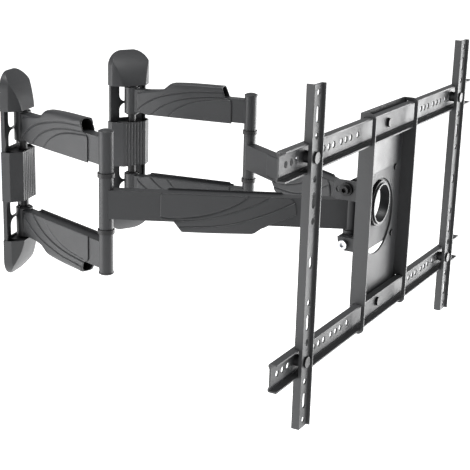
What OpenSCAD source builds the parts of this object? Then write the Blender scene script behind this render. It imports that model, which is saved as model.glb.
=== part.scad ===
// Full-motion television wall mount: two folding arms between two narrow wall brackets
// and one head, with a tilting, levelling frame of two rails and two slotted screen brackets.
// Millimetres. +Z is up, +Y points into the wall and the screen faces -Y.
// The origin is the middle of the left wall bracket's back face.

/* [Screen frame] */
// Distance between the two screen brackets
screen_bracket_gap = 500; // [400:100:500]
// Length of each screen bracket
screen_bracket_len = 420; // [420:10:520]
// Height between the outermost fixing holes of a screen bracket
screen_hole_span = 400; // [400:400]
// Width of a screen bracket's web
screen_bracket_w = 22.5; // [22:0.5:28]
// How far a screen bracket's rear flange reaches back
screen_bracket_depth = 10.5; // [8:0.5:11]
// How far its front lip stands proud
screen_bracket_lip = 4; // [2:0.5:6]
// Sheet thickness of the screen brackets
screen_bracket_t = 2; // [1.5:0.5:3]
// Diameter of the round fixing holes and width of the slots
screen_hole_d = 8; // [6:0.5:8.5]
// End-to-end length of a slot
slot_len = 20; // [12:1:22]
// Length of the two rails
rail_len = 634; // [620:10:760]
// Height of a rail
rail_h = 36; // [30:1:40]
// Depth of a rail from its front lips to its back
rail_depth = 11.5; // [10:0.5:14]
// Sheet thickness of a rail
rail_t = 2; // [1.5:0.5:2.5]
// Height between the two rails
rail_gap = 250; // [250:10:290]
// Diameter of the holes along a rail
rail_hole_d = 8.5; // [7:0.5:9]
// Width of the centre bracket
centre_w = 150; // [140:5:200]
// Depth of the centre bracket's side flanges
centre_depth = 21.5; // [21.5:0.5:28]
// Sheet thickness of the centre bracket
centre_t = 2.5; // [2:0.5:3]
// How far the centre bracket passes above and below the rails
centre_margin = 5; // [4:1:12]
// Diameter of the round window in the centre bracket
window_d = 104; // [98:2:108]
// Height of the window's middle
window_z = -4; // [-8:0.5:0]

/* [Head] */
// Height of the levelling hub's axis
hub_z = 14; // [10:1:18]
// Outside diameter of the levelling hub tube
hub_d = 56; // [50:1:60]
// Wall of the hub tube
hub_wall = 2.5; // [2:0.5:4]
// Distance from the screen plane to the arm pivots
head_y = 48; // [48:1:60]
// Distance between the two arm pivots in the head
head_gap = 44; // [42:1:60]
// Height from the middle of the head to the tilt bolts, up and down
tilt_bolt_z = 38; // [38:1:44]
// Width between the two tilt ears
ear_gap = 84; // [80:1:100]
// Thickness of the tilt bracket
ear_t = 3; // [2.5:0.5:4]
// Diameter of the tilt bolts
tilt_bolt_d = 8; // [6:1:10]
// How far the screen tips down
tilt_down = 8; // [4:1:10]
// How far the screen tips back
tilt_up = 4; // [2:1:5]

/* [Arms] */
// Distance from the wall pivot to the elbow
link_len = 210; // [180:5:260]
// Distance from the elbow to the head pivot
forearm_len = 333; // [280:5:400]
// Height of the steel bars
bar_h = 38; // [32:1:40]
// Thickness of the steel bars
bar_t = 18; // [14:1:18]
// Wall of the steel bars
bar_wall = 2; // [1.5:0.5:3]
// Height of the upper and lower links' middles above and below the forearm's
link_z = 73; // [73:1:76]
// Diameter of the elbow tubes
elbow_d = 20; // [19:0.5:24]
// Half the height of an elbow
elbow_top = 98; // [96:1:106]
// Diameter of the elbow shaft
elbow_shaft_d = 12; // [10:1:13]
// Half the height of the forearm's elbow tube
forearm_tube_z = 36.5; // [30:0.5:37]
// Height of the collar above and below the forearm's elbow tube
collar_h = 6; // [4:0.5:7]
// Diameter of a collar
collar_d = 23.5; // [22:0.5:27]
// Diameter of the tubes that turn in the head
head_tube_d = 22; // [20:0.5:24]
// Diameter of the head pins
head_pin_d = 10; // [8:1:12]
// Wall of the plastic arm covers
cover_wall = 2; // [1.5:0.5:2.5]
// How far a link cover's hump stands off its bar, to hold cables
hump_h = 18; // [12:1:19]
// How far a forearm cover's hump stands off its bar
forearm_hump_h = 15; // [12:1:18]

/* [Wall brackets] */
// Height of a wall bracket
bracket_h = 307; // [300:1:340]
// Width of a wall bracket
bracket_w = 70; // [66:1:90]
// Width of the covers' front face
bracket_front_w = 41; // [36:1:50]
// Depth of the covers
bracket_depth = 28; // [28:0.5:34]
// Depth of the covers' straight sides
bracket_side = 13.5; // [10:0.5:16]
// Wall of the covers
bracket_wall = 2; // [1.5:0.5:2.2]
// Thickness of the steel wall plate
plate_t = 3; // [2.5:0.5:4]
// Half the height of the middle cover
mid_z = 37; // [34:1:38]
// Height at which the end caps start, up and down
cap_z = 97; // [97:1:100]
// Distance from the wall to the pivot pins
pivot_out = 18.5; // [18:0.5:19]
// Diameter of the pivot pins
pivot_pin_d = 10; // [8:0.5:10]
// Diameter of the links' tubes at the pivot pins
knuckle_d = 25; // [22:0.5:26]
// Diameter of the holes for lag screws
lag_hole_d = 9; // [7:0.5:10]
// Height from the middle of the plate to the outer lag screw holes
lag_hole_z = 126; // [120:1:130]

/* [Resting pose] */
// Turn of the left wall bracket towards the other one
toe_left = 13; // [-5:1:20]
// Turn of the right wall bracket towards the other one
toe_right = -27; // [-30:1:5]
// Direction of the left links
link_angle_left = -19.5; // [-30:0.5:-10]
// Direction of the right links
link_angle_right = 8; // [0:0.5:15]
// Direction of the left forearm
forearm_angle_left = 26; // [20:0.5:32]
// Direction of the right forearm
forearm_angle_right = -33; // [-40:0.5:-25]

/* [Hidden] */
$fn = 48;
eps = 0.01;
gap = 0.3;       // clearance between pieces that move past each other
running = 0.05;  // radial clearance of a turning fit

// where everything stands, in plan
function dir(a) = [sin(a), -cos(a)];
function arc_points(c, r, a1, a2, n) =
    [for (i = [0 : n]) c + r * [cos(a1 + (a2 - a1) * i / n), sin(a1 + (a2 - a1) * i / n)]];
function arc_inner(c, r, a1, a2, n) =
    [for (i = [1 : n - 1]) c + r * [cos(a1 + (a2 - a1) * i / n), sin(a1 + (a2 - a1) * i / n)]];
// outline of a slot of half-width r along an arc of radius big
function slot_points(big, r, a1, a2) = concat(
    arc_points([0, 0], big + r, a1, a2, 8),
    arc_inner(big * [cos(a2), sin(a2)], r, a2, a2 + 180, 12),
    arc_points([0, 0], big - r, a2, a1, 8),
    arc_inner(big * [cos(a1), sin(a1)], r, a1 + 180, a1 + 360, 12)
);
left_pivot = pivot_out * dir(toe_left);
left_elbow = left_pivot + link_len * dir(link_angle_left);
left_head = left_elbow + forearm_len * dir(forearm_angle_left);
head_mid = left_head + [head_gap / 2, 0];
right_head = left_head + [head_gap, 0];
right_elbow = right_head - forearm_len * dir(forearm_angle_right);
right_pivot = right_elbow - link_len * dir(link_angle_right);
right_bracket = right_pivot - pivot_out * dir(toe_right);

// heights in a wall bracket's hinge zones
lug_t = 3;
lug_low = mid_z - 1 - lug_t;
lug_high = cap_z + 0.5;
spacer_h = 13;
spacer_d = pivot_pin_d + 3;
bush_flange = 2;
bush_d = pivot_pin_d + 3;
bush_flange_d = bush_d + 6;
bush_len = 14;
spacer_top = lug_low + lug_t + spacer_h;
knuckle_low = spacer_top + gap + bush_flange;
knuckle_high = cap_z - gap - bush_flange;
plate_half_w = bracket_w / 2 - bracket_wall;
plate_half_h = bracket_h / 2 - 9;
strip_w = 20;
flange_h = 6;
corner_r = 20;
cap_corner_r = 25;
cap_curve_r = 105;
cap_curve_z = 70;

// elbow heights
link_tube_low = forearm_tube_z + collar_h + gap;
collar_tube_d = elbow_shaft_d + 4;
collar_tube_len = 18;
cap_lid = 2;

// head heights
head_tube_z = 22;
head_plate_t = 8;
head_plate_z = head_tube_z + 0.4;
head_bush_d = head_pin_d + 3;
head_bush_flange = 1.6;
block_half_w = ear_gap / 2 - gap;
boss_d = 17;

// planes of the screen frame, measured from the screen plane
rail_front = 5;
rail_back = rail_front + rail_depth;
rail_web = rail_back - 3.5;
centre_web = centre_depth - centre_t;
hub_plate_t = 3;
hub_plate_back = centre_depth + hub_plate_t;
tilt_plate_front = hub_plate_back + gap;
tilt_plate_back = tilt_plate_front + ear_t;
hub_front = 14;
ring_d = 63;
ring_t = 5;
plate_bottom = -46.5;
plate_top = 62;
centre_h = rail_gap + rail_h + 2 * centre_margin;
pitch = 50;
hole_step = 14;
bolt_d = 8;
level_x = -32;
level_z = -34;
level_d = 5;
level_turn = 3;
plate_screw_x = 52;
plate_screw_z = [plate_bottom + 6.5, plate_top - 8];

/* ---------- placement ---------- */

module in_plan(p, a) {
    translate([p[0], p[1], 0]) rotate([0, 0, a]) children();
}
module at_bracket_left() { in_plan([0, 0], toe_left) children(); }
module at_bracket_right() { in_plan(right_bracket, toe_right) children(); }
module at_link_left() { in_plan(left_pivot, link_angle_left) children(); }
module at_link_right() { in_plan(right_pivot, link_angle_right) children(); }
module at_forearm_left() { in_plan(left_elbow, forearm_angle_left) children(); }
module at_forearm_right() { in_plan(right_elbow, forearm_angle_right) children(); }
module at_head() { in_plan(head_mid, 0) children(); }
module at_screen() { in_plan(head_mid - [0, head_y], 0) children(); }

module both_heights() {
    children();
    mirror([0, 0, 1]) children();
}
module both_sides() {
    children();
    mirror([1, 0, 0]) children();
}
// a cylinder along X from x1 to x2
module rod_x(d, x1, x2) {
    translate([x1, 0, 0]) rotate([0, 90, 0]) cylinder(d = d, h = x2 - x1);
}
// a cylinder along Y from y1 to y2
module rod_y(d, y1, y2) {
    translate([0, y2, 0]) rotate([90, 0, 0]) cylinder(d = d, h = y2 - y1);
}
// a block between two corners
module block(a, b) {
    translate(a) cube(b - a);
}
// a slot along Z, cut through in Y
module slot_y(d, len, y1, y2) {
    translate([0, 0, len / 2 - d / 2]) rod_y(d, y1, y2);
    translate([0, 0, d / 2 - len / 2]) rod_y(d, y1, y2);
    block([-d / 2, y1, d / 2 - len / 2], [d / 2, y2, len / 2 - d / 2]);
}

/* ---------- wall brackets ---------- */

// plan outline of the covers, shrunk all round by w
module cover_plan(w) {
    front = bracket_front_w / 2 - w * 0.6;
    side = bracket_w / 2 - w;
    polygon([
        [-side, 0], [-side, -bracket_side], [-front, w - bracket_depth],
        [front, w - bracket_depth], [side, -bracket_side], [side, 0]
    ]);
}

module lug(z) {
    translate([0, 0, z]) linear_extrude(lug_t) intersection() {
        cover_plan(bracket_wall + 0.6);
        translate([-bracket_front_w / 2, -bracket_depth]) square([bracket_front_w, bracket_depth]);
    }
}

// one of the two see-through openings beside a pivot; they meet in a pointed bridge
module plate_window(low, high, round_top) {
    r = 11;
    w = plate_half_w - strip_w + 2;
    difference() {
        block([-w, -plate_t - eps, low], [w, eps, high]);
        both_sides() translate([-w, 0, round_top ? high : low]) difference() {
            block([-eps, -plate_t - 1, -r], [r, 1, r]);
            translate([r, 0, round_top ? -r : r]) rod_y(2 * r, -plate_t - 2, 2);
        }
    }
}

module wall_plate() {
    mid = (mid_z + cap_z) / 2;
    bridge = 1.5;
    color("#2a2b2d") difference() {
        union() {
            block([-plate_half_w, -plate_t, -plate_half_h], [plate_half_w, 0, plate_half_h]);
            both_sides() block([plate_half_w - plate_t, -flange_h, -plate_half_h + 22],
                               [plate_half_w, 0, plate_half_h - 22]);
            both_heights() lug(lug_low);
            both_heights() lug(lug_high);
        }
        both_heights() {
            plate_window(mid_z + 4, mid - bridge, true);
            plate_window(mid + bridge, cap_z - 2, false);
            translate([0, -pivot_out, 0]) cylinder(d = pivot_pin_d, h = bracket_h);
            translate([0, 0, lag_hole_z]) rod_y(lag_hole_d, -plate_t - 1, 1);
            both_sides() difference() {
                block([plate_half_w - corner_r, -plate_t - 1, plate_half_h - corner_r],
                      [plate_half_w + 1, 1, plate_half_h + 1]);
                translate([plate_half_w - corner_r, 0, plate_half_h - corner_r])
                    rod_y(2 * corner_r, -plate_t - 2, 2);
            }
        }
    }
}

// an end cap's outer shape, shrunk by w: its front leans back in one long curve
module cap_solid(w, low) {
    top = bracket_h / 2 - w;
    side = bracket_w / 2 - w;
    r = cap_corner_r - w;
    depth = bracket_depth + 1;
    difference() {
        intersection() {
            translate([0, 0, low]) linear_extrude(top - low) cover_plan_cap(w);
            translate([0, cap_curve_r - depth, bracket_h / 2 - cap_curve_z])
                rod_x(2 * (cap_curve_r - w), -bracket_w, bracket_w, $fn = 128);
        }
        both_sides() difference() {
            block([side - r, -2 * depth, top - r], [side + 1, 3, top + 1]);
            translate([side - r, 0, top - r]) rod_y(2 * r, -3 * depth, 4, $fn = 64);
        }
    }
}

module cover_plan_cap(w) {
    front = bracket_front_w / 2 - w * 0.6;
    side = bracket_w / 2 - w;
    back = w > 0 ? 1 : 0;
    polygon([
        [-side, back], [-side, -bracket_side], [-front, w - bracket_depth - 1],
        [front, w - bracket_depth - 1], [side, -bracket_side], [side, back]
    ]);
}

module end_cap() {
    color("#3c3d40") difference() {
        cap_solid(0, cap_z);
        cap_solid(bracket_wall, cap_z - 1);
    }
}

module cover_mid() {
    grooves = 6;
    groove_w = 1.2;
    color("#3c3d40") difference() {
        translate([0, 0, -mid_z]) linear_extrude(2 * mid_z) cover_plan(0);
        translate([0, 0, -mid_z - 1]) linear_extrude(2 * mid_z + 2) {
            cover_plan(bracket_wall);
            translate([-bracket_w / 2 + bracket_wall, -1]) square([bracket_w - 2 * bracket_wall, 2]);
            for (i = [0 : grooves - 1])
                translate([bracket_front_w * ((i + 1) / (grooves + 1) - 0.5) - groove_w / 2,
                           -bracket_depth - 1]) square([groove_w, 2]);
        }
    }
}

module pivot_pins() {
    head_h = 2;
    color("#8f9194") both_heights() translate([0, -pivot_out, 0]) {
        translate([0, 0, lug_low - 3]) cylinder(d = pivot_pin_d, h = lug_high + lug_t + 3 - lug_low);
        translate([0, 0, lug_high + lug_t]) cylinder(d = pivot_pin_d + 2, h = head_h);
    }
}

module pivot_spacers() {
    color("#8f9194") both_heights() translate([0, -pivot_out, lug_low + lug_t]) difference() {
        cylinder(d = spacer_d, h = spacer_h);
        translate([0, 0, -1]) cylinder(d = pivot_pin_d, h = spacer_h + 2);
    }
}

/* ---------- links ---------- */

module link_steel() {
    low = link_z - bar_h / 2;
    inner_h = bar_h - 2 * bar_wall;
    color("#3a3b3e") difference() {
        union() {
            translate([0, 0, knuckle_low]) cylinder(d = knuckle_d, h = knuckle_high - knuckle_low);
            block([-bar_t / 2, -link_len, low], [bar_t / 2, 0, low + bar_h]);
            translate([0, -link_len, link_tube_low]) cylinder(d = elbow_d, h = elbow_top - link_tube_low);
        }
        block([bar_wall - bar_t / 2, elbow_d / 2 - link_len - 1, low + bar_wall],
              [bar_t / 2 - bar_wall, 1 - knuckle_d / 2, low + bar_wall + inner_h]);
        cylinder(d = bush_d, h = bracket_h);
        translate([0, -link_len, 0]) cylinder(d = elbow_shaft_d, h = bracket_h);
    }
}
module upper_link() { link_steel(); }
module lower_link() { mirror([0, 0, 1]) link_steel(); }

// side outline of a link cover: [distance from the pivot, height]
module link_cover_outline() {
    low = link_z - bar_h / 2 - cover_wall;
    top = link_z + bar_h / 2 + cover_wall;
    hump = link_z + bar_h / 2 + hump_h;
    s0 = knuckle_d / 2 + 2;
    s1 = link_len - 29;
    polygon([
        [s0, low + 4], [s0 + 8, low], [s1, low], [s1, top - 9], [s1 - 3, top - 3],
        [s1 - 10, top], [s1 - 11, top + 5], [s1 - 17, hump], [s0 + 100, hump], [s0 + 61, hump - 4],
        [s0 + 50, hump - 10], [s0 + 36, top - 1], [s0 + 20, top - 1], [s0, top - 8]
    ]);
}
module link_hump_outline() {
    top = link_z + bar_h / 2 + cover_wall;
    hump = link_z + bar_h / 2 + hump_h;
    s0 = knuckle_d / 2 + 2;
    s1 = link_len - 29;
    polygon([
        [s1 + 5, top - 2], [s1 + 5, hump - cover_wall], [s0 + 100, hump - cover_wall],
        [s0 + 62, hump - cover_wall - 4], [s0 + 52, hump - cover_wall - 9], [s0 + 42, top - 2]
    ]);
}
// stands a [distance, height] outline on the bar, w wide
module along_bar(w) {
    translate([w / 2, 0, 0]) rotate([90, 0, -90]) linear_extrude(w) children();
}

module link_cover() {
    w = bar_t + 2 * cover_wall;
    low = link_z - bar_h / 2;
    color("#47484b") difference() {
        along_bar(w) link_cover_outline();
        block([-bar_t / 2, -link_len, low - cover_wall - 1], [bar_t / 2, 0, low + bar_h]);
        along_bar(bar_t - 2) link_hump_outline();
    }
}
module upper_link_cover() { link_cover(); }
module lower_link_cover() { mirror([0, 0, 1]) link_cover(); }

module flanged_bush(d, bore, len, flange_d, flange) {
    difference() {
        union() {
            cylinder(d = d, h = len);
            translate([0, 0, -flange]) cylinder(d = flange_d, h = flange);
        }
        translate([0, 0, -flange - 1]) cylinder(d = bore, h = len + flange + 2);
    }
}

module pivot_bushes() {
    bore = pivot_pin_d + 2 * running;
    color("#1c1c1e") both_heights() {
        translate([0, 0, knuckle_low])
            flanged_bush(bush_d, bore, bush_len, bush_flange_d, bush_flange);
        translate([0, 0, knuckle_high]) mirror([0, 0, 1])
            flanged_bush(bush_d, bore, bush_len, bush_flange_d, bush_flange);
    }
}

module elbow_shaft() {
    color("#8f9194") translate([0, -link_len, -elbow_top]) cylinder(d = elbow_shaft_d, h = 2 * elbow_top);
}

module elbow_caps() {
    dome = 3;
    r = elbow_d / 2 + 0.6;
    ball = (r * r + dome * dome) / (2 * dome);
    color("#303134") both_heights() translate([0, -link_len, elbow_top]) {
        cylinder(r = r, h = cap_lid);
        translate([0, 0, cap_lid]) intersection() {
            translate([0, 0, dome - ball]) sphere(ball, $fn = 96);
            cylinder(r = r, h = dome);
        }
    }
}

/* ---------- forearms ---------- */

module forearm_steel() {
    inner = bar_h - 2 * bar_wall;
    half = bar_h / 2 + 1;
    color("#3a3b3e") difference() {
        union() {
            translate([0, 0, -forearm_tube_z]) cylinder(d = elbow_d, h = 2 * forearm_tube_z);
            block([-bar_t / 2, -forearm_len, -half], [bar_t / 2, 0, half]);
            translate([0, -forearm_len, -head_tube_z]) cylinder(d = head_tube_d, h = 2 * head_tube_z);
        }
        block([bar_wall - bar_t / 2, head_tube_d / 2 - forearm_len - 1, -inner / 2],
              [bar_t / 2 - bar_wall, 1 - elbow_d / 2, inner / 2]);
        translate([0, 0, -bracket_h / 2]) cylinder(d = collar_tube_d, h = bracket_h);
        translate([0, -forearm_len, -bracket_h / 2]) cylinder(d = head_bush_d, h = bracket_h);
        both_heights() translate([0, -forearm_len, head_tube_z - head_bush_flange])
            cylinder(d = head_tube_d + 2, h = 10);
    }
}

module forearm_cover_outline(drop) {
    half = bar_h / 2 + 1;
    s0 = 75;
    s1 = s0 + 184;
    deep = half + drop;
    polygon([
        [s0 + 3, half], [s1 - 13, half], [s1 - 5, half - 9], [s1, half - 19], [s1, half - 24],
        [s1 - 9, -half], [s1 - 28, -half], [s1 - 42, -half - 5], [s1 - 52, -deep + 1],
        [s1 - 56, -deep], [s0 + 30, -deep], [s0 + 19, -half], [s0 + 3, -half],
        [s0, 3 - half], [s0, half - 3]
    ]);
}

module forearm_cover() {
    half = bar_h / 2 + 1;
    w = bar_t + 2 * cover_wall;
    drop = forearm_hump_h;
    rim = 2.5;
    color("#47484b") difference() {
        union() {
            along_bar(w) forearm_cover_outline(drop);
            translate([bar_t / 2 + cover_wall / 2, 0, 0]) along_bar(cover_wall) polygon([
                [78, half - 1], [78, half + rim], [238, half + rim], [246, half - 1]
            ]);
        }
        block([-bar_t / 2, -forearm_len, -half], [bar_t / 2, 0, half + rim + 1]);
        along_bar(bar_t - 2) polygon([
            [97, -half + 1], [106.5, cover_wall - half - drop], [202, cover_wall - half - drop],
            [216, -half - 1], [216, -half + 1]
        ]);
        for (s = [40, 200]) along_bar(bar_t - 6) polygon([
            [s + 56, 1 - half], [s + 56, -half - 8], [s, -half - 8], [s, 1 - half]
        ]);
    }
}

module elbow_collars() {
    color("#2c2d30") both_heights() translate([0, 0, forearm_tube_z]) mirror([0, 0, 1])
        flanged_bush(collar_tube_d, elbow_shaft_d + 2 * running, collar_tube_len, collar_d, collar_h);
}

module head_bushes() {
    color("#1c1c1e") both_heights() translate([0, -forearm_len, head_tube_z - head_bush_flange])
        mirror([0, 0, 1]) flanged_bush(head_bush_d, head_pin_d + 2 * running, 12,
                                       head_tube_d - 2, head_bush_flange);
}

/* ---------- head ---------- */

module head_block() {
    reach = head_gap / 2;
    r = head_tube_d / 2;
    top = head_plate_z + head_plate_t;
    spine = reach - r - 2;
    color("#333437") difference() {
        union() {
            both_heights() {
                block([-reach, -r, head_plate_z], [reach, r, top]);
                both_sides() translate([reach, 0, head_plate_z]) cylinder(r = r, h = head_plate_t);
                translate([0, 0, tilt_bolt_z]) rod_x(boss_d, -block_half_w, block_half_w);
                block([-block_half_w, -boss_d / 2, top - 3], [block_half_w, boss_d / 2, tilt_bolt_z]);
            }
            block([-spine, -r, -top], [spine, r - 3, top]);
        }
        both_sides() translate([reach, 0, -bracket_h / 2]) cylinder(d = head_pin_d, h = bracket_h);
        both_heights() both_sides() translate([0, 0, tilt_bolt_z])
            rod_x(tilt_bolt_d, block_half_w - 10, block_half_w + 1);
    }
}

module head_pins() {
    top = tilt_bolt_z - 3;
    color("#8f9194") both_sides() translate([head_gap / 2, 0, -top]) cylinder(d = head_pin_d, h = 2 * top);
}

// an ear bolt on the +X side: shank, washer face and head
module ear_bolt(z, face, head_d, head_h) {
    translate([0, 0, z]) {
        rod_x(tilt_bolt_d, block_half_w - 10, face);
        difference() {
            rod_x(head_d, face, face + head_h);
            translate([face + 1.5, 0, 0]) rotate([0, 90, 0]) cylinder(d = head_d * 0.55, h = head_h, $fn = 6);
        }
    }
}

module tilt_pivot_bolts() {
    face = ear_gap / 2 + ear_t + gap;
    color("#c9cbcd") both_sides() ear_bolt(-tilt_bolt_z, face, 13, 5);
}

module tilt_lock_bolts() {
    face = ear_gap / 2 + ear_t + gap + 2.5;
    color("#1c1c1e") both_sides() ear_bolt(tilt_bolt_z, face, 12, 6);
}

module tilt_lock_washers() {
    face = ear_gap / 2 + ear_t + gap;
    color("#26272a") both_sides() translate([0, 0, tilt_bolt_z]) difference() {
        rod_x(18, face, face + 2.5);
        rod_x(tilt_bolt_d, face - 1, face + 4);
    }
}

/* ---------- tilt bracket, in the screen frame's coordinates ---------- */

module ear_outline() {
    y0 = tilt_plate_front;
    lobe = 8.5;
    back = head_y + 19;
    r = 6;
    low = tilt_bolt_z - 15;
    high = tilt_bolt_z + 12;
    polygon(concat(
        [[y0, -tilt_bolt_z - lobe]],
        arc_points([head_y, -tilt_bolt_z], lobe, -90, 10, 12),
        [[head_y + 9.5, 10 - tilt_bolt_z], [y0 + 7, 10 - tilt_bolt_z], [y0 + 7, low]],
        arc_points([back - r, low + r], r, -90, 0, 8),
        arc_points([back - r, high - r], r, 0, 90, 8),
        [[y0, high]]
    ));
}

// slot in the ears along the arc that the lock bolts follow
module lock_slot() {
    translate([0, head_y, -tilt_bolt_z]) rotate([90, 0, 90]) translate([0, 0, -ear_gap])
        linear_extrude(2 * ear_gap)
            polygon(slot_points(2 * tilt_bolt_z, tilt_bolt_d / 2 + 0.5, 90 - tilt_down, 90 + tilt_up));
}

// slot along the arc that the level screw follows
module level_slot() {
    drop = level_z - hub_z;
    at = atan2(drop, level_x);
    translate([0, tilt_plate_back + 1, hub_z]) rotate([90, 0, 0]) linear_extrude(ear_t + 2)
        polygon(slot_points(norm([level_x, drop]), level_d / 2 + gap + 0.1,
                            at - level_turn, at + level_turn));
}

module tilt_bracket() {
    half = ear_gap / 2 + ear_t;
    y0 = tilt_plate_front;
    color("#3a3b3e") difference() {
        union() {
            block([-half, y0, -tilt_bolt_z - 5.5], [half, y0 + ear_t, tilt_bolt_z + 12]);
            both_sides() translate([half - ear_t, 0, 0]) rotate([90, 0, 90])
                linear_extrude(ear_t) ear_outline();
            translate([0, 0, hub_z]) rod_y(hub_d, hub_front, y0 + ear_t);
        }
        translate([0, 0, hub_z]) rod_y(hub_d - 2 * hub_wall, hub_front - 1, y0 + ear_t + 1);
        translate([0, head_y, -tilt_bolt_z]) rod_x(tilt_bolt_d + 2 * running, -half - 1, half + 1);
        lock_slot();
        level_slot();
    }
}

module hub_ring() {
    y2 = centre_depth - gap;
    color("#202123") translate([0, 0, hub_z]) difference() {
        rod_y(ring_d, y2 - ring_t, y2);
        rod_y(hub_d, y2 - ring_t - 1, y2 + 1);
        for (a = [30 : 120 : 270]) rotate([0, a, 0])
            translate([0, y2 - ring_t / 2, 0]) cylinder(d = 2.5, h = ring_d, $fn = 24);
    }
}

module hub_ring_screws() {
    y2 = centre_depth - gap;
    color("#55575a") translate([0, 0, hub_z]) for (a = [30 : 120 : 270]) rotate([0, a, 0])
        translate([0, y2 - ring_t / 2, hub_d / 2]) cylinder(d = 2.5, h = (ring_d - hub_d) / 2, $fn = 24);
}

/* ---------- screen frame, in its own coordinates ---------- */

module hub_plate() {
    half = plate_screw_x + 10;
    color("#3a3b3e") difference() {
        block([-half, centre_depth, plate_bottom], [half, hub_plate_back, plate_top]);
        translate([0, 0, hub_z]) rod_y(hub_d + 2 * running, centre_depth - 1, hub_plate_back + 1);
        both_sides() for (z = plate_screw_z)
            translate([plate_screw_x, 0, z]) rod_y(5, centre_depth - 1, hub_plate_back + 1);
        translate([level_x, 0, level_z]) rod_y(level_d, centre_depth - 1, hub_plate_back + 1);
    }
}

module hub_plate_screws() {
    color("#1c1c1e") both_sides() for (z = plate_screw_z) translate([plate_screw_x, 0, z]) {
        rod_y(5, centre_web, hub_plate_back - eps);
        rod_y(9, centre_web - 2, centre_web);
    }
}

// clamps the hub plate to the tilt bracket from behind
module level_screw() {
    face = tilt_plate_back + gap;
    color("#1c1c1e") translate([level_x, 0, level_z]) {
        rod_y(level_d, centre_depth, face);
        rod_y(level_d * 2, face, face + 3.5);
    }
}

module flange_outline() {
    r = 8;
    h = centre_h / 2;
    square([centre_depth, h - r]);
    translate([r, 0]) square([centre_depth - r, h]);
    translate([r, h - r]) circle(r);
}

module centre_bracket() {
    half = centre_w / 2;
    slack = 0.3;
    color("#3f4043") difference() {
        union() {
            block([-half, centre_web, -centre_h / 2], [half, centre_depth, centre_h / 2]);
            both_heights() both_sides() translate([half, 0, 0]) rotate([90, 0, -90])
                mirror([1, 0]) linear_extrude(centre_t) flange_outline();
        }
        both_heights() translate([0, 0, rail_gap / 2]) {
            block([-half - 1, rail_front - slack, -rail_h / 2 - slack],
                  [half + 1, rail_back + slack, rail_h / 2 + slack]);
            rod_y(bolt_d, centre_web - 1, centre_depth + 1);
        }
        translate([0, 0, window_z]) rod_y(window_d, centre_web - 1, centre_depth + 1);
        both_sides() for (z = plate_screw_z)
            translate([plate_screw_x, 0, z]) rod_y(5, centre_web - 1, centre_depth + 1);
    }
}

// thin stiffening panel on the web, between the window and the upper rail
module centre_panel() {
    half = centre_w / 2 - centre_t - 6;
    low = 59.5;
    high = rail_gap / 2 - rail_h / 2 - 3;
    r = 6;
    t = 1.2;
    color("#4b4c4f") difference() {
        block([-half, centre_web - t, low], [half, centre_web, high]);
        both_sides() for (v = [0, 1]) translate([half - r, 0, v ? high - r : low + r]) difference() {
            block([0, centre_web - 3, v ? 0 : -r - 1], [r + 1, centre_web + 1, v ? r + 1 : 0]);
            rod_y(2 * r, centre_web - 4, centre_web + 2);
        }
    }
}

// rail section in [depth from the screen plane, height]
module rail_section() {
    h = rail_h / 2;
    b = 4;
    polygon([
        [rail_front, h], [rail_back - 1.5, h], [rail_back, h - 1.5], [rail_back, h - b],
        [rail_web + rail_t, h - b - 3], [rail_web + rail_t, b + 3 - h], [rail_back, b - h],
        [rail_back, 1.5 - h], [rail_back - 1.5, -h], [rail_front, -h], [rail_front, rail_t - h],
        [rail_back - rail_t, rail_t - h], [rail_back - rail_t, b - h - 0.8],
        [rail_web, b + 2.2 - h], [rail_web, h - b - 2.2],
        [rail_back - rail_t, h - b + 0.8], [rail_back - rail_t, h - rail_t], [rail_front, h - rail_t]
    ]);
}

module rail(z) {
    groups = [136 : pitch : rail_len / 2 - hole_step - 6];
    color("#4a4b4e") translate([0, 0, z]) difference() {
        rotate([90, 0, 90]) translate([0, 0, -rail_len / 2]) linear_extrude(rail_len) rail_section();
        both_sides() {
            translate([100, 0, 0]) rod_y(rail_hole_d, rail_web - 1, rail_back + 1);
            for (x = groups) for (d = [-hole_step : hole_step : hole_step])
                translate([x + d, 0, 0]) rod_y(rail_hole_d, rail_web - 1, rail_back + 1);
        }
        rod_y(bolt_d, rail_web - 1, rail_back + 1);
    }
}
module rail_upper() { rail(rail_gap / 2); }
module rail_lower() { rail(-rail_gap / 2); }

// bolt along Y: head in front of y1, nut behind y2
module cross_bolt(y1, y2, head_d, head_h) {
    rod_y(bolt_d, y1, y2 + 6);
    rod_y(head_d, y1 - head_h, y1);
    difference() {
        translate([0, y2 + 6, 0]) rotate([90, 0, 0]) cylinder(d = 15, h = 6, $fn = 6);
        rod_y(bolt_d - 1, y2, y2 + 7);
    }
}

module rail_bolts() {
    color("#1c1c1e") both_heights() translate([0, 0, rail_gap / 2])
        cross_bolt(rail_web, centre_depth, 12, 3.5);
}

module rail_spacers() {
    color("#2c2d30") both_heights() translate([0, 0, rail_gap / 2]) difference() {
        rod_y(18, rail_web + rail_t, centre_web);
        rod_y(bolt_d, rail_web, centre_depth);
    }
}

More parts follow.
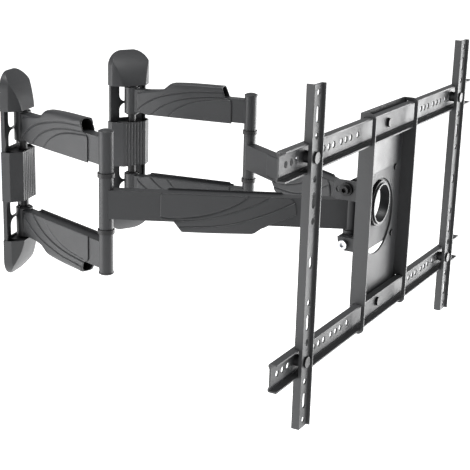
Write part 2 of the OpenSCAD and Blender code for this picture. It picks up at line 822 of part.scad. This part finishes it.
module screen_bracket(x) {
    h = screen_bracket_len / 2;
    half = screen_bracket_w / 2;
    t = screen_bracket_t;
    slack = 0.3;
    bolt_z = rail_gap / 2;
    color("#505154") translate([x, 0, 0]) difference() {
        union() {
            block([-half, 0, -h], [half, t, h]);
            block([-half, 0, -h], [t - half, screen_bracket_depth, h]);
            block([half - t, -screen_bracket_lip, -h], [half, t, h]);
        }
        both_heights() {
            block([-half - 1, rail_front - slack, bolt_z - rail_h / 2 - slack],
                  [half + 1, screen_bracket_depth + 1, bolt_z + rail_h / 2 + slack]);
            translate([0, 0, bolt_z]) rod_y(bolt_d + 0.5, -1, t + 1);
            for (k = [1 : 4]) translate([0, 0, screen_hole_span / 8 * k]) rod_y(screen_hole_d, -1, t + 1);
            for (z = [75, 175]) translate([0, 0, z]) slot_y(screen_hole_d, slot_len, -1, t + 1);
        }
        slot_y(screen_hole_d, slot_len * 0.7, -1, t + 1);
    }
}
module screen_bracket_left() { screen_bracket(-screen_bracket_gap / 2); }
module screen_bracket_right() { screen_bracket(screen_bracket_gap / 2); }

module screen_bracket_bolts() {
    color("#2c2d30") both_sides() both_heights()
        translate([screen_bracket_gap / 2, 0, rail_gap / 2]) cross_bolt(0, rail_back - 1.5, 14, 2.5);
}

module screen_bracket_spacers() {
    color("#2c2d30") both_sides() both_heights()
        translate([screen_bracket_gap / 2, 0, rail_gap / 2]) difference() {
            rod_y(14, screen_bracket_t, rail_web);
            rod_y(bolt_d, 0, rail_back);
        }
}

/* ---------- each piece in its place ---------- */

at_bracket_left() wall_plate();  // wall_plate_left
at_bracket_left() end_cap();  // cap_top_left
at_bracket_left() cover_mid();  // cover_mid_left
at_bracket_left() mirror([0, 0, 1]) end_cap();  // cap_bottom_left
at_bracket_left() pivot_pins();  // pivot_pins_left
at_bracket_left() pivot_spacers();  // pivot_spacers_left
at_link_left() upper_link();  // upper_link_left
at_link_left() lower_link();  // lower_link_left
at_link_left() upper_link_cover();  // upper_link_cover_left
at_link_left() lower_link_cover();  // lower_link_cover_left
at_link_left() pivot_bushes();  // pivot_bushes_left
at_link_left() elbow_shaft();  // elbow_shaft_left
at_link_left() elbow_caps();  // elbow_caps_left
at_forearm_left() forearm_steel();  // forearm_left
at_forearm_left() forearm_cover();  // forearm_cover_left
at_forearm_left() elbow_collars();  // elbow_collars_left
at_forearm_left() head_bushes();  // head_bushes_left
at_bracket_right() wall_plate();  // wall_plate_right
at_bracket_right() end_cap();  // cap_top_right
at_bracket_right() cover_mid();  // cover_mid_right
at_bracket_right() mirror([0, 0, 1]) end_cap();  // cap_bottom_right
at_bracket_right() pivot_pins();  // pivot_pins_right
at_bracket_right() pivot_spacers();  // pivot_spacers_right
at_link_right() upper_link();  // upper_link_right
at_link_right() lower_link();  // lower_link_right
at_link_right() upper_link_cover();  // upper_link_cover_right
at_link_right() lower_link_cover();  // lower_link_cover_right
at_link_right() pivot_bushes();  // pivot_bushes_right
at_link_right() elbow_shaft();  // elbow_shaft_right
at_link_right() elbow_caps();  // elbow_caps_right
at_forearm_right() forearm_steel();  // forearm_right
at_forearm_right() forearm_cover();  // forearm_cover_right
at_forearm_right() elbow_collars();  // elbow_collars_right
at_forearm_right() head_bushes();  // head_bushes_right
at_head() head_block();
at_head() head_pins();
at_head() tilt_pivot_bolts();
at_head() tilt_lock_bolts();
at_head() tilt_lock_washers();
at_screen() tilt_bracket();
at_screen() hub_ring();
at_screen() hub_ring_screws();
at_screen() hub_plate();
at_screen() hub_plate_screws();
at_screen() centre_bracket();
at_screen() centre_panel();
at_screen() level_screw();
at_screen() rail_upper();
at_screen() rail_lower();
at_screen() rail_bolts();
at_screen() rail_spacers();
at_screen() screen_bracket_left();
at_screen() screen_bracket_right();
at_screen() screen_bracket_bolts();
at_screen() screen_bracket_spacers();
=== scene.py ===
import bmesh
import bpy
import math
from mathutils import Matrix, Vector


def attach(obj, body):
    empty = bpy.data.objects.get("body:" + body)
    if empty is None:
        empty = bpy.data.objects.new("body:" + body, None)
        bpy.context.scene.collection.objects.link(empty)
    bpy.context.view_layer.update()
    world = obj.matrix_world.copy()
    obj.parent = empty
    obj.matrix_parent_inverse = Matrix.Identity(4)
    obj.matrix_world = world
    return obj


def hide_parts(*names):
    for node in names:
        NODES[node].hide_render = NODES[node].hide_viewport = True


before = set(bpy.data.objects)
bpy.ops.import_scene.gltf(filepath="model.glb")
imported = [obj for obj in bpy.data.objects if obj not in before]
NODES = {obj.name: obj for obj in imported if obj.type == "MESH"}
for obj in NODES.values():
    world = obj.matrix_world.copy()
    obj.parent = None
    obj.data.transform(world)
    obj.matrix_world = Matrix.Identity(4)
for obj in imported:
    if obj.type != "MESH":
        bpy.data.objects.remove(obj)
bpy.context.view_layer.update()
scene = bpy.context.scene

# ---------------------------------------------------------------- where things stand (metres)
MM = 0.001


def direction(degrees):
    a = math.radians(degrees)
    return Vector((math.sin(a), -math.cos(a), 0))


# from part.scad, in mm and degrees: pivot's distance from the wall plate, arm lengths, arm angles
PIVOT_OUT, LINK, FORE = 18.5, 210, 333
HEAD_GAP, HEAD_Y = 44, 48
TOE = {"left": 13, "right": -27}
LINK_DIR = {"left": -19.5, "right": 8}
FORE_DIR = {"left": 26, "right": -33}
PIVOT = {"left": direction(TOE["left"]) * PIVOT_OUT}
ELBOW = {"left": PIVOT["left"] + direction(LINK_DIR["left"]) * LINK}
HEAD_L = ELBOW["left"] + direction(FORE_DIR["left"]) * FORE
HEAD_R = HEAD_L + Vector((HEAD_GAP, 0, 0))
ELBOW["right"] = HEAD_R - direction(FORE_DIR["right"]) * FORE
PIVOT["right"] = ELBOW["right"] - direction(LINK_DIR["right"]) * LINK
SCREEN = HEAD_L + Vector((HEAD_GAP / 2, -HEAD_Y, 0))

# ---------------------------------------------------------------- camera
yaw, pitch, roll = math.radians(28.64), math.radians(16.51), math.radians(1.68)
fwd = Vector((math.cos(yaw) * math.cos(pitch), math.sin(yaw) * math.cos(pitch), -math.sin(pitch)))
side = Vector((math.sin(yaw), -math.cos(yaw), 0))
down = fwd.cross(side)
right = side * math.cos(roll) - down * math.sin(roll)
below = side * math.sin(roll) + down * math.cos(roll)
cam_data = bpy.data.cameras.new("camera")
cam_data.lens = 90.8
cam_data.sensor_width = 36
cam_data.clip_end = 20
camera = bpy.data.objects.new("camera", cam_data)
camera.matrix_world = Matrix.Translation((SCREEN + Vector((-1448.35, -552.77, 421.01))) * MM) @ Matrix(
    (right, -below, -fwd)).transposed().to_4x4()
scene.collection.objects.link(camera)
scene.camera = camera

# ---------------------------------------------------------------- materials


ROUGH_VAR, TONE_VAR = 0.06, 0.12     # how far roughness and tone wander over a surface


def material(name, base, rough, metal=0.0, grain=900.0, bump=0.12, stretch=(1, 1, 1), edge=0.0):
    """A painted, moulded or plated surface: fine grain, broad mottling, and edges softened by edge metres."""
    mat = bpy.data.materials.new(name)
    mat.use_nodes = True
    nt = mat.node_tree
    nt.nodes.clear()
    new = nt.nodes.new
    out = new("ShaderNodeOutputMaterial")
    bsdf = new("ShaderNodeBsdfPrincipled")
    coord = new("ShaderNodeTexCoord")
    scale = new("ShaderNodeMapping")
    scale.inputs["Scale"].default_value = stretch
    fine = new("ShaderNodeTexNoise")
    fine.inputs["Scale"].default_value = grain
    fine.inputs["Detail"].default_value = 3.0
    broad = new("ShaderNodeTexNoise")
    broad.inputs["Scale"].default_value = 22.0
    broad.inputs["Detail"].default_value = 4.0
    nt.links.new(coord.outputs["Object"], scale.inputs["Vector"])
    nt.links.new(scale.outputs["Vector"], fine.inputs["Vector"])
    nt.links.new(coord.outputs["Object"], broad.inputs["Vector"])
    tone = new("ShaderNodeValToRGB")
    lo = [c * (1 - TONE_VAR) for c in base] + [1]
    hi = [min(1, c * (1 + TONE_VAR)) for c in base] + [1]
    tone.color_ramp.elements[0].color = lo
    tone.color_ramp.elements[0].position = 0.3
    tone.color_ramp.elements[1].color = hi
    tone.color_ramp.elements[1].position = 0.7
    mix = new("ShaderNodeMath")
    mix.operation = "MULTIPLY_ADD"
    mix.inputs[1].default_value = 0.5
    half = new("ShaderNodeMath")
    half.operation = "MULTIPLY"
    half.inputs[1].default_value = 0.5
    nt.links.new(broad.outputs["Fac"], half.inputs[0])
    nt.links.new(fine.outputs["Fac"], mix.inputs[0])
    nt.links.new(half.outputs[0], mix.inputs[2])
    nt.links.new(mix.outputs[0], tone.inputs["Fac"])
    nt.links.new(tone.outputs["Color"], bsdf.inputs["Base Color"])
    rr = new("ShaderNodeMapRange")
    rr.inputs["From Min"].default_value = 0.3
    rr.inputs["From Max"].default_value = 0.7
    rr.inputs["To Min"].default_value = max(0.03, rough - ROUGH_VAR)
    rr.inputs["To Max"].default_value = min(1, rough + ROUGH_VAR)
    nt.links.new(broad.outputs["Fac"], rr.inputs["Value"])
    nt.links.new(rr.outputs["Result"], bsdf.inputs["Roughness"])
    bsdf.inputs["Metallic"].default_value = metal
    relief = new("ShaderNodeBump")
    relief.inputs["Strength"].default_value = bump
    relief.inputs["Distance"].default_value = 0.0004
    nt.links.new(fine.outputs["Fac"], relief.inputs["Height"])
    if edge:
        soft = new("ShaderNodeBevel")
        soft.samples = 4
        soft.inputs["Radius"].default_value = edge
        nt.links.new(soft.outputs["Normal"], relief.inputs["Normal"])
    nt.links.new(relief.outputs["Normal"], bsdf.inputs["Normal"])
    nt.links.new(bsdf.outputs["BSDF"], out.inputs["Surface"])
    return mat


COAT = material("powder_coat", (0.034, 0.035, 0.037), 0.42, grain=1500, bump=0.25, edge=0.0007)
SHEET = material("sheet_coat", (0.058, 0.059, 0.061), 0.52, grain=1500, bump=0.22, edge=0.0005)
PLASTIC = material("moulded_plastic", (0.038, 0.039, 0.041), 0.44, grain=2200, bump=0.10, edge=0.0012)
CAPS = material("cap_plastic", (0.036, 0.037, 0.039), 0.42, grain=2200, bump=0.10, edge=0.0012)
BUSH = material("bush_plastic", (0.014, 0.014, 0.015), 0.45, grain=1800, bump=0.08, edge=0.0004)
BLACK = material("black_oxide", (0.012, 0.012, 0.013), 0.48, grain=1600, bump=0.1, edge=0.0004)
ZINC = material("zinc_plate", (0.62, 0.63, 0.65), 0.28, metal=1.0, grain=700,
                stretch=(1, 1, 6), edge=0.0005)


def finish_for(name):
    if name.startswith(("cap_top", "cap_bottom")):
        return CAPS
    if name.startswith(("cover_mid", "upper_link_cover", "lower_link_cover", "forearm_cover",
                        "elbow_caps")):
        return PLASTIC
    if name.startswith(("pivot_bushes", "elbow_collars", "head_bushes")):
        return BUSH
    if name.startswith(("elbow_shaft", "head_pins", "tilt_pivot_bolts")):
        return ZINC
    if name.startswith(("pivot_pins", "pivot_spacers", "tilt_lock", "hub_ring", "hub_plate_screws",
                        "level_screw", "rail_bolts", "screen_bracket_bolts")):
        return BLACK
    if name.startswith(("rail_", "screen_bracket", "centre_bracket", "hub_plate")):
        return SHEET
    return COAT


for name, obj in NODES.items():
    obj.data.materials.clear()
    obj.data.materials.append(finish_for(name))

# ---------------------------------------------------------------- wall bracket caps
RIM_Z, BACK = 97.6, 0.6     # mm: the cap's open rim, and its back edge on the wall


def rounded_cap(name, hand, width):
    """The moulded cap: its CAD form with the outer edges rounded over."""
    src = NODES[name].data
    origin = PIVOT[hand] - direction(TOE[hand]) * PIVOT_OUT
    out = direction(TOE[hand])
    bm = bmesh.new()
    bm.from_mesh(src)
    bmesh.ops.remove_doubles(bm, verts=bm.verts, dist=1e-6)
    bmesh.ops.dissolve_limit(bm, angle_limit=math.radians(1.5), verts=bm.verts, edges=bm.edges)

    def inner(v):
        p = v.co / MM - origin
        return abs(p.z) < RIM_Z or p.dot(out) < BACK
    picked = [e for e in bm.edges
              if len(e.link_faces) == 2 and e.is_convex and e.calc_face_angle() > math.radians(20)
              and not (inner(e.verts[0]) and inner(e.verts[1]))]
    bmesh.ops.bevel(bm, geom=picked, offset=width * MM, segments=4, profile=0.5, affect="EDGES",
                    clamp_overlap=True, loop_slide=True)
    mesh = bpy.data.meshes.new(name + "_shell")
    bm.to_mesh(mesh)
    bm.free()
    for p in mesh.polygons:
        p.use_smooth = True
    mesh.set_sharp_from_angle(angle=math.radians(32))
    mesh.materials.append(CAPS)
    obj = bpy.data.objects.new(name + "_shell", mesh)
    scene.collection.objects.link(obj)
    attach(obj, f"wall_bracket_{hand}")
    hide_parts(name)


for hand in ("left", "right"):
    for end in ("top", "bottom"):
        rounded_cap(f"cap_{end}_{hand}", hand, 2.2)

# ---------------------------------------------------------------- arm covers


def spline(points, s):
    """Height at s of a smooth curve through points; straight on past its ends."""
    last = len(points) - 1
    i = 0
    while i < last - 1 and s > points[i + 1][0]:
        i += 1

    def slope(k):
        a, b = points[max(k - 1, 0)], points[min(k + 1, last)]
        return (b[1] - a[1]) / (b[0] - a[0])
    (s0, z0), (s1, z1) = points[i], points[i + 1]
    if s <= s0:
        return z0 + (s - s0) * (z1 - z0) / (s1 - s0)
    if s >= s1:
        return z1 + (s - s1) * slope(i + 1)
    w = s1 - s0
    t = (s - s0) / w
    return ((2 * t ** 3 - 3 * t ** 2 + 1) * z0 + (t ** 3 - 2 * t ** 2 + t) * w * slope(i)
            + (3 * t ** 2 - 2 * t ** 3) * z1 + (t ** 3 - t ** 2) * w * slope(i + 1))


def clamp(x, lo=0.0, hi=1.0):
    return max(lo, min(hi, x))


def smooth(x):
    x = clamp(x)
    return x * x * (3 - 2 * x)


def dome(a, power=0.62):
    """A point of a squared-off half circle of radius 1, at angle a."""
    c, q = math.cos(a), math.sin(a)
    return math.copysign(abs(c) ** power, c), max(0.0, q) ** power


def relief(s, z, grooves):
    """How proud the face stands at (s, z): one flat layer, then layers that overlap away from it."""
    out = 0.0
    for k, curve in enumerate(grooves):
        g = spline(curve, s)
        tilt = (spline(curve, s + 1) - g)
        d = (z - g) / math.sqrt(1 + tilt * tilt)
        if k == 0:
            out += 0.8 * smooth((0.4 - d) / 0.8)
            out -= 0.75 * math.exp(-((d - 0.9) / 0.8) ** 2)
        else:
            out += 0.8 * smooth((d + 0.4) / 0.8) * (1 - clamp(d / 16.0))
            out -= 0.75 * math.exp(-((d + 0.9) / 0.8) ** 2)
    return min(out, 0.85)


HALF = 10.15        # a cover's half thickness, and what is left outside its thinnest groove
THINNEST = 9.45
BAR_HALF = 9.05     # half the room that a cover leaves for the steel bar
RING_STEP = 1.0


def cover_rings(shape):
    """Rings of points round an arm cover; the hump points to +z."""
    rings = []
    s0, s1 = shape["span"]
    n = int((s1 - s0) / RING_STEP)
    for i in range(n + 1):
        nominal = s0 + (s1 - s0) * i / n
        low, top = shape["low"](nominal), shape["top"](nominal)
        edge = min(shape["edge"](nominal), top - 0.6)
        near, crown = [], []
        for j in range(shape["rows"] + 1):
            z = low + (edge - low) * j / shape["rows"]
            near.append((HALF, z))
        for k in range(1, 12):
            across, up = dome(math.pi * k / 12)
            crown.append((HALF * across, edge + (top - edge) * up))
        drop = low - shape["rim"](nominal)
        ring = [(-1, x, z, True) for x, z in near]
        ring += [(-1 if x > 0 else 1, abs(x), z, False) for x, z in crown]
        ring += [(1, x, z if j else drop, j > 0) for j, (x, z) in reversed(list(enumerate(near)))]
        pts = []
        for sign, x, z, face in ring:
            s = shape["place"](nominal, z)
            if face:
                x += relief(s, z, shape["grooves"])
                brink = min(z - low, shape["end"](z) - s, s - shape["start"](z))
                if brink < 1.0:
                    x -= 0.6 * (1 - clamp(brink)) ** 2
                x = max(x, THINNEST)
            pts.append((s, sign * x, z))
        rings.append(pts)
    return rings


def skin(name, rings, up, origin, degrees, mat, paired=False):
    """Closes equal rings into a mesh in the row frame; up = -1 turns it upside down.

    paired: a ring's points mirror each other, so its ends close with level strips.
    """
    n = len(rings[0])
    d = direction(degrees)
    across = Vector((-d.y, d.x, 0))
    verts = [(origin + d * s + across * x + Vector((0, 0, z * up))) * MM
             for ring in rings for s, x, z in ring]
    faces = [(i * n + j, i * n + (j + 1) % n, (i + 1) * n + (j + 1) % n, (i + 1) * n + j)
             for i in range(len(rings) - 1) for j in range(n)]
    for base in (0, (len(rings) - 1) * n):
        strips = [tuple(dict.fromkeys((k, k + 1, n - 2 - k, n - 1 - k))) for k in range(n // 2)]
        if not paired:
            strips = [tuple(range(n))]
        faces += [tuple(base + k for k in q) for q in strips]
    mesh = bpy.data.meshes.new(name)
    mesh.from_pydata(verts, [], faces)
    obj = bpy.data.objects.new(name, mesh)
    scene.collection.objects.link(obj)
    bm = bmesh.new()
    bm.from_mesh(mesh)
    bmesh.ops.recalc_face_normals(bm, faces=bm.faces)
    bm.to_mesh(mesh)
    bm.free()
    mesh.materials.append(mat)
    return obj


def carve(obj, cutters):
    """Cuts every cutter out of the piece, removes the cutters, and shades it smooth up to sharp edges."""
    for cutter in cutters:
        mod = obj.modifiers.new("cut", "BOOLEAN")
        mod.operation = "DIFFERENCE"
        mod.solver = "EXACT"
        mod.object = cutter
        with bpy.context.temp_override(object=obj, active_object=obj):
            bpy.ops.object.modifier_apply(modifier=mod.name)
        bpy.data.objects.remove(cutter)
    for p in obj.data.polygons:
        p.use_smooth = True
    obj.data.set_sharp_from_angle(angle=math.radians(38))


def prism(name, outline, half, up, origin, degrees):
    """A cutter: an (s, z) outline, half wide to each side."""
    rings = [[(s, x, z) for s, z in outline] for x in (-half, half)]
    return skin(name, rings, up, origin, degrees, PLASTIC)


# groove lines, outlines and heights below are (distance from the hinge, height) in mm; the forearm's
# are upside down, because its hump points down
LINK_GROOVES = [
    [(60, 40), (71, 52.6), (84.5, 65.5), (106, 77), (132, 84), (165, 87.7)],
    [(28, 38), (40, 54), (61.5, 71), (90, 83), (126, 90.3), (164, 93.2)],
    [(10, 50), (19.5, 64), (44, 80), (62, 87), (88, 93.2), (115, 98), (161, 101)],
]


def link_end(z):
    if z < 83:
        return 181.0
    if z < 92:
        return 170 + 11 * math.sqrt(max(0.0, 1 - ((z - 83) / 9) ** 2))
    return 170 - (z - 92) * 0.42


LINK_SHAPE = {
    "span": (14.5, 181.0), "rows": 60,
    "low": lambda s: 52 + 6 * clamp((34 - s) / 19.5) ** 1.6,
    "top": lambda s: spline([(14.5, 88), (30, 92.4), (50, 94.2), (59, 96), (65, 100.5), (71, 105.6),
                             (78, 107.8), (114, 109.6), (181, 109.8)], s),
    "edge": lambda s: spline([(14.5, 84), (35, 88.8), (54, 92.6), (76, 97.6), (110, 102.4),
                              (160, 105.2)], s),
    "rim": lambda s: 2.4 * smooth((s - 30) / 2) * smooth((176 - s) / 2),
    "grooves": LINK_GROOVES,
    "start": lambda z: 14.5,
    "end": link_end,
    "place": lambda s, z: s + (link_end(z) - 181) * smooth((s - 140) / 41),
}

FORE_GROOVES = [
    [(70, 11), (77.6, 12.8), (89.6, 14.2), (128.7, 9.8), (158.4, 0.8), (180.6, -10.2), (196.6, -22.4)],
    [(86, 19.6), (94.2, 19.1), (128.8, 16.1), (158.7, 9.3), (188.3, -1.3), (210.4, -10.7),
     (230.7, -23.1)],
    [(90, 27.4), (101.1, 27.1), (136.5, 25.1), (166.5, 21.4), (196.2, 13.1), (225.7, 1.8),
     (251.3, -10.9)],
]


def fore_end(z):
    if z < 0:
        return 246 + 13 * math.sqrt(max(0.0, 1 - (z / 20.5) ** 2))
    return 259 - 0.05 * z * z


def fore_start(z):
    r = 6
    d = max(0.0, abs(z) - (20 - r))
    return 75 + r - math.sqrt(max(0.0, r * r - min(d, r) ** 2))


def fore_place(s, z):
    s += (fore_end(z) - 259) * smooth((s - 215) / 44)
    return s + (fore_start(z) - 75) * smooth((90 - s) / 15)


def fore_top(s):
    line = [(75, 19.8), (92.5, 19.8), (103.8, 34.2), (105.5, 34.8), (150, 34.6), (199, 33.5),
            (203, 32.2), (212, 25.5), (221, 21.8), (231, 18.4), (240, 14.6), (250, 10.6), (259, 4.5)]
    for (a, za), (b, zb) in zip(line, line[1:]):
        if s <= b:
            return za + (zb - za) * (s - a) / (b - a)
    return line[-1][1]


FORE_SHAPE = {
    "span": (75.0, 259.0), "rows": 70,
    "low": lambda s: -20.0,
    "top": fore_top,
    "edge": lambda s: fore_top(s) - 2.4,
    "rim": lambda s: 2.5 * smooth((s - 78) / 2) * smooth((250 - s) / 2),
    "grooves": FORE_GROOVES,
    "start": fore_start,
    "end": fore_end,
    "place": fore_place,
}

# the cable room inside each cover, (distance, height), and half its width and its end ducts' width
LINK_CHANNEL = [(58, 90), (58, 91.5), (68, 97), (78, 103.5), (116, 107), (116, 90)]
FORE_CHANNEL = [(97, 19), (106.5, 32.8), (202, 31.8), (215, 19)]
CHANNEL_HALF, DUCT_HALF = 8, 6

for hand in ("left", "right"):
    for level, up in (("upper", 1), ("lower", -1)):
        name = f"{level}_link_cover_{hand}"
        at = (up, PIVOT[hand], LINK_DIR[hand])
        piece = skin(name + "_shell", cover_rings(LINK_SHAPE), *at, PLASTIC, True)
        arch = [dome(math.pi * k / 16) for k in range(17)]
        mouth = [[(s, 9.1 * x, 91.4 + 17.0 * z) for x, z in arch] for s in (110, 195)]
        carve(piece, [skin("mouth", mouth, *at, PLASTIC),
                      prism("channel", LINK_CHANNEL, CHANNEL_HALF, *at),
                      prism("bar", [(0, 40), (200, 40), (200, 92.02), (0, 92.02)], BAR_HALF, *at)])
        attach(piece, f"arm_{hand}")
        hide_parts(name)
    name = f"forearm_cover_{hand}"
    at = (-1, ELBOW[hand], FORE_DIR[hand])
    piece = skin(name + "_shell", cover_rings(FORE_SHAPE), *at, PLASTIC, True)
    carve(piece, [prism("bar", [(60, -30), (270, -30), (270, 20.02), (60, 20.02)], BAR_HALF, *at),
                  prism("channel", FORE_CHANNEL, CHANNEL_HALF, *at)]
          + [prism("duct", [(a, 20.4), (b, 20.4), (b, 28), (a, 28)], DUCT_HALF, *at)
             for a, b in ((60, 108), (200, 250))])
    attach(piece, f"forearm_pair_{hand}")
    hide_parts(name)

# ---------------------------------------------------------------- floor and light
FLOOR_Z = -0.9
floor_mat = bpy.data.materials.new("paper")
floor_mat.use_nodes = True
paper = floor_mat.node_tree.nodes["Principled BSDF"]
paper.inputs["Base Color"].default_value = (0.86, 0.86, 0.86, 1)
paper.inputs["Roughness"].default_value = 0.9
paper.inputs["Emission Color"].default_value = (1, 1, 1, 1)
paper.inputs["Emission Strength"].default_value = 0.8
bpy.ops.mesh.primitive_plane_add(size=30, location=(0, 0, FLOOR_Z))
floor = bpy.context.object
floor.name = "floor"
floor.data.materials.append(floor_mat)

bpy.ops.mesh.primitive_cylinder_add(vertices=96, radius=14, depth=20, location=(0, 0, 0))
sweep = bpy.context.object
sweep.name = "backdrop"
glow = bpy.data.materials.new("backdrop_white")
glow.use_nodes = True
glow.node_tree.nodes.clear()
light = glow.node_tree.nodes.new("ShaderNodeEmission")
light.inputs["Strength"].default_value = 1.05
sink = glow.node_tree.nodes.new("ShaderNodeOutputMaterial")
glow.node_tree.links.new(light.outputs["Emission"], sink.inputs["Surface"])
sweep.data.materials.append(glow)
sweep.visible_diffuse = False
sweep.visible_glossy = False
sweep.visible_shadow = False

scene.view_settings.view_transform = "Standard"
scene.view_settings.look = "Medium High Contrast"
world = bpy.data.worlds.new("studio")
scene.world = world
world.use_nodes = True
back = world.node_tree.nodes["Background"]
back.inputs["Color"].default_value = (1, 1, 1, 1)
back.inputs["Strength"].default_value = 0.38


def lamp(name, at, aim, size, power, size_y=None):
    data = bpy.data.lights.new(name, "AREA")
    data.energy = power
    data.size = size
    if size_y:
        data.shape = "RECTANGLE"
        data.size_y = size_y
    obj = bpy.data.objects.new(name, data)
    obj.location = at
    obj.rotation_mode = "QUATERNION"
    obj.rotation_quaternion = (Vector(aim) - Vector(at)).to_track_quat("-Z", "Y")
    obj.visible_camera = False
    scene.collection.objects.link(obj)
    return obj


lamp("key", (0.3, -2.6, 2.6), (0.1, -0.5, 0), 1.2, 30)
lamp("rake", (-0.6, 0.1, 2.6), (0.0, -0.2, 0), 0.9, 45)
lamp("card_screen", (2.4, -1.6, -0.35), (0.1, -0.56, 0.0), 2.3, 56, 1.1)
lamp("card_wall", (-2.1, 2.0, -0.1), (0.0, -0.2, 0.0), 2.6, 50, 1.5)
